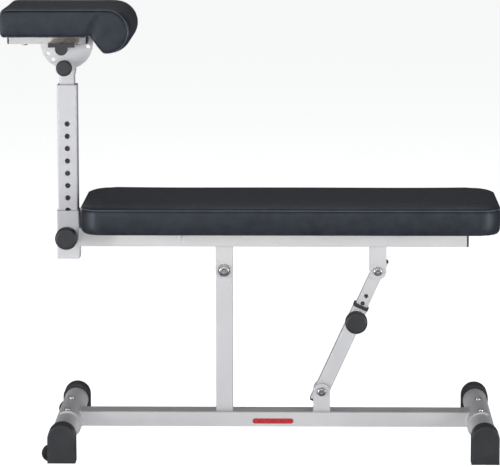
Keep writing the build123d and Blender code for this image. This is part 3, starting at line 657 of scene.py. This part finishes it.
def staples(name, board, body):
    """Row of staple crowns in the cover's hem, under the board's rim, each turned a little its own way."""
    low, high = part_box(board)
    centre = ((low.x + high.x) / 2, (low.y + high.y) / 2)
    half = ((high.x - low.x) / 2, (high.y - low.y) / 2)
    spots = rounded_plan(centre, half, 20 * MM, 10 * MM, STAPLE_STEP)
    points, faces = [], []
    top = low.z - COVER_DROP + 0.1 * MM
    for i, spot in enumerate(spots):
        following = spots[(i + 1) % len(spots)]
        if (following - spot).length < STAPLE_STEP / 2:
            continue
        way = (following - spots[i - 1]).normalized()
        skew = STAPLE_SKEW * sin(7.3 * i)
        along = Vector((way.x - skew * way.y, way.y + skew * way.x, 0)).normalized() * STAPLE_CROWN / 2
        across = Vector((-along.y, along.x, 0)).normalized() * STAPLE_WIRE / 2
        first = len(points)
        for z in (top, top - STAPLE_WIRE * 0.7):
            for q in (along + across, across - along, -along - across, along - across):
                points.append(Vector((spot.x + q.x, spot.y + q.y, z)))
        a, b, c, d, e, f, g, h = range(first, first + 8)
        faces += [(a, b, c, d), (h, g, f, e), (a, e, f, b), (b, f, g, c), (c, g, h, d), (d, h, e, a)]
    add_piece(name, points, faces, body, "zinc_steel", smooth=False)


staples("seat_pad_staples", "seat_board", "seat_frame")
staples("arm_pad_staples", "arm_pad_board", "head")


# ---- welds ---------------------------------------------------------------------------------------------
BEAD, FINE_BEAD, THIN_BEAD = 1.7 * MM, 1.3 * MM, 1.2 * MM
RIPPLE, RIPPLE_PITCH = 0.22, 2.2 * MM
TUBE_CORNER = 2 * MM
SADDLE_PLATE = 4 * MM


def bead(name, path, body, closed=True, radius=BEAD):
    """Painted weld bead with cast ripples along a path."""
    points, faces = tube_along(divided(path, 0.8 * MM, closed), radius, closed, 6, RIPPLE, RIPPLE_PITCH)
    add_piece(name, points, faces, body, "frame_paint")


def plan_loop(x, half_x, half_y, z):
    """Closed rectangle with clipped corners, level at z."""
    short_x, short_y = half_x - TUBE_CORNER, half_y - TUBE_CORNER
    loop = [(half_x, -short_y), (half_x, short_y), (short_x, half_y), (-short_x, half_y),
            (-half_x, short_y), (-half_x, -short_y), (-short_x, -half_y), (short_x, -half_y)]
    return [Vector((x + u, v, z)) for u, v in loop]


def footprint(node):
    """Middle along X, and half the width along X and Y, of a CAD node's box."""
    low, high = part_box(node)
    return (low.x + high.x) / 2, (high.x - low.x) / 2, (high.y - low.y) / 2


beam_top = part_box("base_beam")[1].z
rail_low, rail_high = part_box("seat_rail")
for node in ("support_post", "strut_foot_bracket"):
    bead(f"weld_{node}", plan_loop(*footprint(node), beam_top), "base")
for node in ("tilt_bracket", "strut_top_bracket"):
    bead(f"weld_{node}", plan_loop(*footprint(node), rail_low.z), "seat_frame")


def housing_weld(node, body):
    """Bead round a pull pin's housing, where it meets the face it stands on."""
    low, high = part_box(node)
    x, z, radius = (low.x + high.x) / 2, (low.z + high.z) / 2, (high.x - low.x) / 2
    turn = [pi * i / 18 for i in range(36)]
    ring = [Vector((x + radius * cos(a), high.y, z + radius * sin(a))) for a in turn]
    bead(f"weld_{node}", ring, body, radius=THIN_BEAD)


for node, body in (("sleeve_pin_housing", "seat_frame"), ("strut_pin_housing", "strut_outer"),
                   ("head_pin_housing", "post")):
    housing_weld(node, body)

NECK_HALF = 15 * MM
neck_x = footprint("post_neck")[0]
post_top, clevis_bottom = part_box("height_post")[1].z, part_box("head_clevis")[0].z
bead("weld_post_neck", plan_loop(neck_x, NECK_HALF, NECK_HALF, post_top), "post", radius=FINE_BEAD)
bead("weld_clevis_neck", plan_loop(neck_x, NECK_HALF, NECK_HALF, clevis_bottom), "post", radius=FINE_BEAD)
sleeve_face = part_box("post_sleeve")[1].x
rail_corners = ((rail_low.y, rail_low.z), (rail_high.y, rail_low.z),
                (rail_high.y, rail_high.z), (rail_low.y, rail_high.z))
bead("weld_rail_sleeve", [Vector((sleeve_face, y, z)) for y, z in rail_corners], "seat_frame")


def beam_end_weld(name, foot, way):
    """Bead where the beam's end meets its saddle: up one side, over the top and down the other."""
    low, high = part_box(foot)
    x, z = (low.x + high.x) / 2, (low.z + high.z) / 2
    radius = (high.z - low.z) / 2 + SADDLE_PLATE
    beam_low, beam_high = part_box("base_beam")
    start, end = asin((beam_low.z - z) / radius), asin((beam_high.z - z) / radius)
    climb = [start + (end - start) * i / 8 for i in range(9)]
    arc_at = [(x + way * radius * cos(a), z + radius * sin(a)) for a in climb]
    path = [Vector((u, beam_low.y, w)) for u, w in arc_at]
    path += [Vector((u, beam_high.y, w)) for u, w in reversed(arc_at)]
    bead(name, path, "base", closed=False)


beam_end_weld("weld_beam_head_end", "head_foot_tube", 1)
beam_end_weld("weld_beam_seat_end", "seat_foot_tube", -1)


# ---- stage, light, camera ------------------------------------------------------------------------------
FLOOR_HALF = 40.0
AIM = Vector((0, 0, 0.45))


def stage_floor():
    """Seamless pale floor, kept out of the gloss on the object."""
    signs = ((-1, -1), (1, -1), (1, 1), (-1, 1))
    mesh = bpy.data.meshes.new("studio_floor")
    mesh.from_pydata([(FLOOR_HALF * u, FLOOR_HALF * v, 0) for u, v in signs], [], [(0, 1, 2, 3)])
    floor = bpy.data.objects.new("studio_floor", mesh)
    mesh.materials.append(studio_white())
    bpy.context.scene.collection.objects.link(floor)
    floor.visible_glossy = False


def softbox(name, azimuth, height, distance, size, power):
    """Rectangular soft light that looks at the object.

    Azimuth in degrees is 0 at the camera's side and turns towards +X; power is in watts.
    """
    data = bpy.data.lights.new(name, "AREA")
    data.shape = "RECTANGLE"
    data.size, data.size_y = size
    data.energy = power
    light = bpy.data.objects.new(name, data)
    angle = radians(azimuth)
    place = Vector((distance * sin(angle), -distance * cos(angle), height))
    light.location = place
    light.rotation_euler = (AIM - place).to_track_quat("-Z", "Y").to_euler()
    bpy.context.scene.collection.objects.link(light)


def studio_world():
    """Dim and slightly cool surround."""
    world = bpy.data.worlds.new("studio")
    world.use_nodes = True
    background = world.node_tree.nodes["Background"]
    background.inputs["Color"].default_value = (0.92, 0.96, 1.0, 1)
    background.inputs["Strength"].default_value = 0.10
    bpy.context.scene.world = world


stage_floor()
studio_world()
softbox("left_strip", azimuth=-58, height=0.5, distance=3.0, size=(0.4, 0.95), power=42)
softbox("right_strip", azimuth=58, height=0.5, distance=3.0, size=(0.4, 0.95), power=36)
softbox("front_softbox", azimuth=-6, height=1.3, distance=4.2, size=(3.0, 1.6), power=48)
softbox("top_softbox", azimuth=0, height=3.4, distance=-0.8, size=(3.0, 2.0), power=16)
softbox("rear_softbox", azimuth=180, height=4.0, distance=3.0, size=(3.0, 1.6), power=12)

CAMERA_AT = Vector((0.1129, -5.8017, 1.3592))
CAMERA_PITCH, CAMERA_YAW, CAMERA_ROLL = radians(9.12), radians(1.14), radians(0.08)
LENS = 209.0
camera_data = bpy.data.cameras.new("camera")
camera_data.lens = LENS
camera_data.sensor_width = 36.0
camera_data.sensor_fit = "HORIZONTAL"
camera = bpy.data.objects.new("camera", camera_data)
camera.location = CAMERA_AT
camera.rotation_euler = (pi / 2 - CAMERA_PITCH, CAMERA_ROLL, CAMERA_YAW)
bpy.context.scene.collection.objects.link(camera)
bpy.context.scene.camera = camera
bpy.context.scene.view_settings.view_transform = "Standard"
